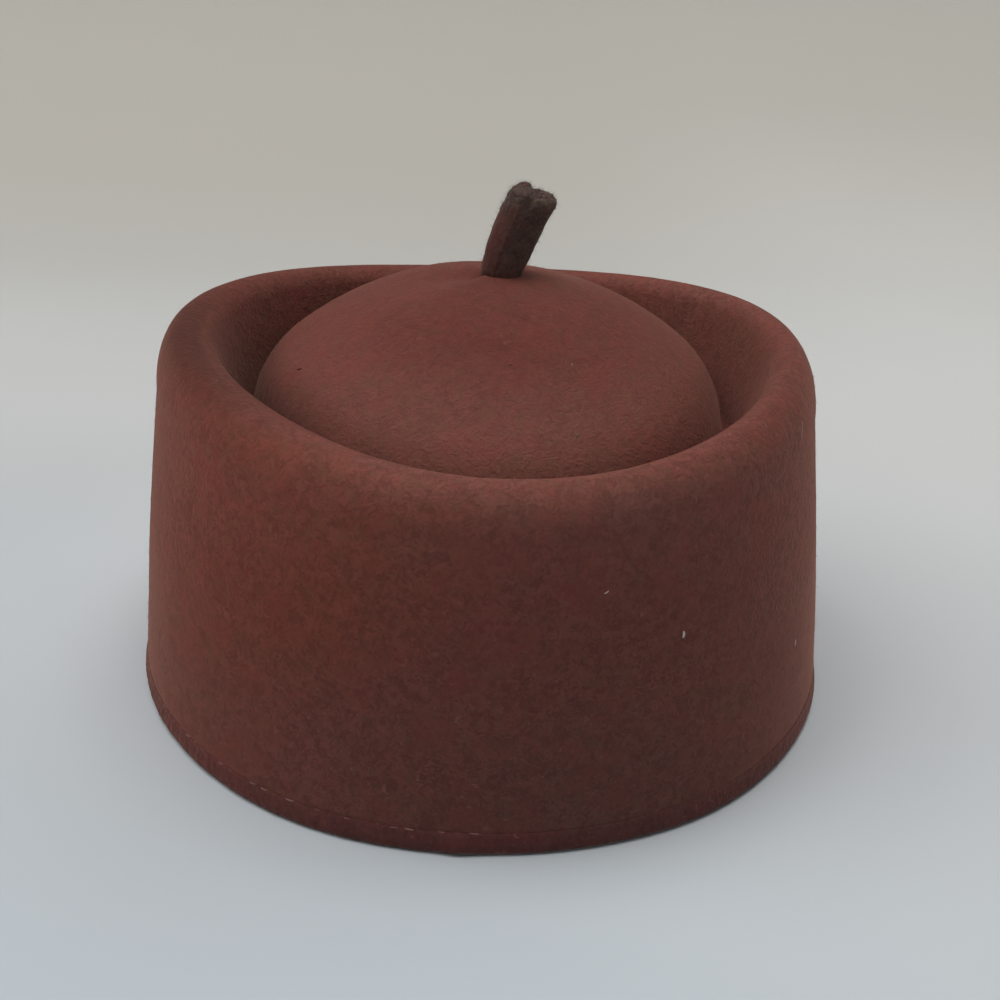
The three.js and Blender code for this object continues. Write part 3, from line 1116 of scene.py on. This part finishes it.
def nap_tree(values):
    graph, inputs = geometry_tree("Loose fibres", values)
    plugs = {
        "Mesh": inputs["Geometry"],
        "Density": stored(graph, "nap") * inputs["Density"],
        "Seed": inputs["Seed"],
    }
    scatter = graph.add("GeometryNodeDistributePointsOnFaces", plugs)
    plugs = {
        "Vertices": 3,
        "Side Segments": 2,
        "Radius Top": 0.0,
        "Radius Bottom": inputs["Thickness"] * 0.5,
        "Depth": inputs["Length"],
    }
    hair = graph.add("GeometryNodeMeshCone", plugs)["Mesh"]
    x, y, z = graph.add("GeometryNodeInputPosition")[0].xyz()
    part = z / inputs["Length"]
    bend = part * part * inputs["Bend"]
    plugs = {"Geometry": hair, "Position": graph.join(x, y + bend, z)}
    hair = graph.add("GeometryNodeSetPosition", plugs)["Geometry"]
    seed = inputs["Seed"]
    tilt = random(graph, inputs["Least Tilt"], inputs["Most Tilt"], seed + 1)
    spin = random(graph, 0.0, math.tau, seed + 2)
    plugs = {0: graph.join(tilt, 0.0, spin)}
    own = graph.add("FunctionNodeEulerToRotation", plugs)[0]
    plugs = {0: scatter["Rotation"], 1: own}
    turned = graph.add("FunctionNodeRotateRotation", plugs, rotation_space="LOCAL")[0]
    plugs = {
        "Points": scatter["Points"],
        "Instance": hair,
        "Rotation": turned,
        "Scale": random(graph, *HAIR_SIZES, seed + 3),
    }
    hairs = graph.add("GeometryNodeInstanceOnPoints", plugs)["Instances"]
    hairs = store(graph, hairs, "tone", random(graph, 0.0, 1.0, seed + 4), "INSTANCE")
    end_tree(graph, hairs, inputs["Material"])
    return graph


cap_nap_values = {
    "Density": 100000.0,
    "Length": 1.4 * MM,
    "Thickness": 0.045 * MM,
    "Bend": 0.3 * MM,
    "Least Tilt": math.radians(66),
    "Most Tilt": math.radians(90),
    "Seed": 5,
    "Material": nap_wool,
}
stalk_nap_values = {
    **cap_nap_values,
    "Density": 3600000.0,
    "Length": 1.3 * MM,
    "Thickness": 0.05 * MM,
    "Bend": 0.4 * MM,
    "Least Tilt": math.radians(15),
    "Seed": 8,
    "Material": dark_wool,
}
graph = nap_tree(cap_nap_values)
cap_nap = run_tree(graph, "cap_nap", cap_nap_values, felt_cap.data)
stalk_nap = run_tree(graph, "stalk_nap", stalk_nap_values, rolled_stalk.data)

# %% [markdown]
# ## Lint
# A worn cap has picked up a few bits of pale lint and a dark hair. Each is a short bent fibre
# lying on the felt, thick in the middle and pointed at both ends. There are only a handful
# and each has its own place, so a short list says where they are, and the nearest point of
# the felt says how each one lies.

# %% The lint
LINT = [
    {"azimuth": -59, "radius": 89, "height": 51, "length": 1.9, "thick": 0.65, "turn": 8, "tone": 1.0},
    {"azimuth": -72, "radius": 87, "height": 65, "length": 1.3, "thick": 0.35, "turn": 60, "tone": 0.75},
    {"azimuth": -30, "radius": 92, "height": 31.5, "length": 1.8, "thick": 0.35, "turn": 20, "tone": 0.85},
    {"azimuth": -58, "radius": 36, "height": 98, "length": 1.0, "thick": 0.30, "turn": 30, "tone": 0.5},
    {"azimuth": -66, "radius": 51, "height": 87, "length": 1.1, "thick": 0.25, "turn": 50, "tone": 0.45},
    {"azimuth": -45, "radius": 78, "height": 92, "length": 1.2, "thick": 0.30, "turn": 20, "tone": 0.4},
    {"azimuth": -26, "radius": 84, "height": 86, "length": 5.0, "thick": 0.12, "turn": 40, "tone": 0.6},
    {"azimuth": -156, "radius": 53, "height": 91, "length": 1.6, "thick": 0.30, "turn": 50, "tone": 0.0},
    {"azimuth": 70, "radius": 90, "height": 40, "length": 1.8, "thick": 0.40, "turn": 35, "tone": 0.8},
    {"azimuth": 158, "radius": 91, "height": 30, "length": 1.4, "thick": 0.35, "turn": 70, "tone": 0.7},
]
LINT_SIDES = 6
LINT_RINGS = 7
LINT_BEND = 0.15
LINT_STANDS = 0.3


def lint_fibre(azimuth, radius, height, length, thick, turn, tone):
    way = math.radians(azimuth)
    aim = Vector((radius * math.cos(way), radius * math.sin(way), height)) * MM
    _, spot, out, _ = felt_cap.closest_point_on_mesh(aim)
    level = Vector((0, 0, 1)).cross(out).normalized()
    upright = out.cross(level)
    lean = math.radians(turn)
    along = upright * math.cos(lean) + level * math.sin(lean)
    aside = out.cross(along)

    def centre_at(part):
        bend = aside * (LINT_BEND * length * part * part / 2)
        return spot / MM + along * (length * part / 2) + bend

    turns = [math.tau * side / LINT_SIDES for side in range(LINT_SIDES)]
    rings = []
    for part in np.linspace(-1, 1, LINT_RINGS + 2)[1:-1]:
        centre = centre_at(part) + out * (LINT_STANDS * thick)
        wide = thick / 2 * math.sqrt(1 - part * part)
        rings.append([centre + (aside * math.cos(t) + out * math.sin(t)) * wide for t in turns])
    points, faces = closed_shell(rings, centre_at(-1), centre_at(1))
    return points, faces, [tone] * len(points)


points, faces, tones = [], [], []
for bit in LINT:
    own_points, own_faces, own_tones = lint_fibre(**bit)
    faces += [tuple(len(points) + corner for corner in face) for face in own_faces]
    points += own_points
    tones += own_tones
lint_mesh = plain_mesh("lint", points, faces)
lint_mesh.materials.append(loose_lint)
tone = lint_mesh.attributes.new("tone", "FLOAT", "POINT")
tone.data.foreach_set("value", tones)
for face in lint_mesh.polygons:
    face.use_smooth = True
lint = placed("lint", lint_mesh)
report(lint)

# %% [markdown]
# ## Riding on the frame
# Each piece is told which body it moves with, and which construction solid it stands for,
# so that the plain solid is hidden. The last column holds a finish name.

# %% Rides, replacements and finish names
PIECES = [
    (felt_cap, "felt_body", "cap_felt"),
    (turned_hem, "felt_body", "cap_felt"),
    (hem_stitches, None, "cap_felt"),
    (inner_stitches, None, "cap_felt"),
    (cap_nap, None, "cap_felt"),
    (lint, None, "cap_felt"),
    (rolled_stalk, "stalk", "stalk_felt"),
    (stalk_nap, None, "stalk_felt"),
]
for piece, node, finish in PIECES:
    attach(piece, "root")
    if node:
        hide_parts(node)
print(len(PIECES), "pieces ride on the frame")

# %% [markdown]
# ## The floor
# The cap stands on a plain pale floor. Far behind the cap the floor curves up into a low
# wall all the way round, as a studio's cove does, so that every view ends in the same plain
# surface. Its colour is a little cooler in front and warmer at the back, paler just behind the
# cap, and plain grey from far out on. At the right and close beside the cap the floor is painted
# paler, painted light that lifts the cap's shadow.

# %% Floor
FRONT_TONE = (0.655, 0.72, 0.77, 1)
BACK_TONE = (0.575, 0.547, 0.49, 1)
RIGHT_PAINTED_LIGHT = (0.80, 0.80, 0.78, 1)
BEHIND_TONE = (0.82, 0.80, 0.79, 1)
BESIDE_PAINTED_LIGHT = (0.85, 0.86, 0.88, 1)
COVE_TONE = (0.60, 0.605, 0.595, 1)
CLOUD_TONE = (0.50, 0.50, 0.50, 1)


def floor_finish():
    material = bpy.data.materials.new("pale_floor")
    material.use_nodes = True
    graph = Graph(material.node_tree)
    shader = graph.nodes["Principled BSDF"]
    place = graph.add("ShaderNodeTexCoord")["Object"]
    x, y, _ = (distance / MM for distance in place.xyz())
    out = (x * x + y * y).math("SQRT")
    # Painted light close beside the cap, where its shade would fall on the floor.
    beside = out.smooth(95, 190, 1.0, 0.0) * (x / out).math("ABSOLUTE") ** 2
    layers = [
        (y.smooth(-250, 600), BACK_TONE),
        # Painted light at the right of the cap, where the left lamp's shadow falls.
        (x.smooth(0, 220, 0.0, 0.5) * y.smooth(250, 900, 1.0, 0.1), RIGHT_PAINTED_LIGHT),
        (y.band(20, 180, 200, 380) * 0.35, BEHIND_TONE),
        (beside * 0.26, BESIDE_PAINTED_LIGHT),
        (out.smooth(1400, 2400), COVE_TONE),
        (graph.noise(place, 120 * MM, 2).smooth(0.3, 0.7, 0.0, 0.05), CLOUD_TONE),
    ]
    colour = FRONT_TONE
    for amount, tone in layers:
        colour = blend(graph, amount, colour, tone)
    graph.plug(shader.inputs["Base Color"], colour)
    shader.inputs["Roughness"].default_value = 0.9
    shader.inputs["Specular IOR Level"].default_value = 0.1
    return material


def cove_tree(values):
    graph, inputs = geometry_tree("Round cove", values)
    sheet = spun(graph, inputs["Section"], inputs["Columns"])
    end_tree(graph, sheet, inputs["Material"])
    return graph


FLOOR_RADIUS = 2200
COVE_ROUND = 500
WALL_HEIGHT = 1500
cove_bend = arc((FLOOR_RADIUS, COVE_ROUND), COVE_ROUND, COVE_ROUND, -90, 0, 16)
cove_section = np.vstack(([(0, 0)], cove_bend, [(FLOOR_RADIUS + COVE_ROUND, WALL_HEIGHT)]))
cove_line = section_object("cove_section", cove_section)
cove_values = {"Section": cove_line, "Columns": 96, "Material": floor_finish()}
floor = run_tree(cove_tree(cove_values), "floor", cove_values)
bpy.data.objects.remove(cove_line)
floor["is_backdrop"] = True

# %% [markdown]
# ## Soft light
# Three wide lamps stand far off, so that every shadow is soft: a strong one overhead, one on
# the left that gives the forms their slope from light to dark, and a weaker one behind on the
# right that fills the shade.

# %% Light
LAMP_DISTANCE = 4.0


def soft_lamp(name, azimuth, elevation, size, power):
    """A disk lamp turned to the cap. Azimuth 0 is +X and 90 is +Y."""
    lamp = bpy.data.lights.new(name, "AREA")
    lamp.shape = "DISK"
    lamp.size = size
    lamp.energy = power
    light = placed(name, lamp)
    turn, rise = math.radians(azimuth), math.radians(elevation)
    level = math.cos(rise)
    way = Vector((level * math.cos(turn), level * math.sin(turn), math.sin(rise)))
    light.location = way * LAMP_DISTANCE + Vector((0, 0, APEX / 2 * MM))
    light.rotation_euler = way.to_track_quat("Z", "Y").to_euler()
    light.visible_camera = False


soft_lamp("overhead", 0, 90, 3.0, 66)
soft_lamp("left", 180, 55, 3.0, 51)
soft_lamp("back_right", 45, 55, 3.0, 27)
bpy.context.scene.view_settings.view_transform = "Standard"
print("three soft lamps")

# %% [markdown]
# ## Camera
# The camera stands in front and above, tilted a little, so that the dome shows inside the rim.

# %% Camera
CAMERA_SIDE = -0.35
CAMERA_DISTANCE = 369.41
CAMERA_HEIGHT = 226.31
CAMERA_TILT = 25.99
CAMERA_PAN = -0.59
CAMERA_ROLL = 2.43
SENSOR_WIDTH = 36
FOCAL_LENGTH = 53.43
lens = bpy.data.cameras.new("camera")
lens.sensor_width = SENSOR_WIDTH
lens.lens = FOCAL_LENGTH
camera = placed("camera", lens)
aim = Euler((math.radians(90 - CAMERA_TILT), 0, math.radians(CAMERA_PAN))).to_matrix()
turn = (aim @ Matrix.Rotation(math.radians(CAMERA_ROLL), 3, "Z")).to_4x4()
place = Vector((CAMERA_SIDE, -CAMERA_DISTANCE, CAMERA_HEIGHT)) * MM
camera.matrix_world = Matrix.Translation(place) @ turn
bpy.context.scene.camera = camera
print("camera", round(place.length, 3), "m from the middle of the hem")

# %% [markdown]
# ## Sizes
# The finished pieces should stay close to the construction model's box, so both boxes are
# kept and can be compared. Only the stalk's cut end and its fibres stand a little above it.

# %% Boxes
visual_low, visual_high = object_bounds()
boxes = {
    "cad": [list(frame_low), list(frame_high)],
    "visual": [list(visual_low), list(visual_high)],
}
print("visual box", [round(v / MM, 1) for v in (*visual_low, *visual_high)])
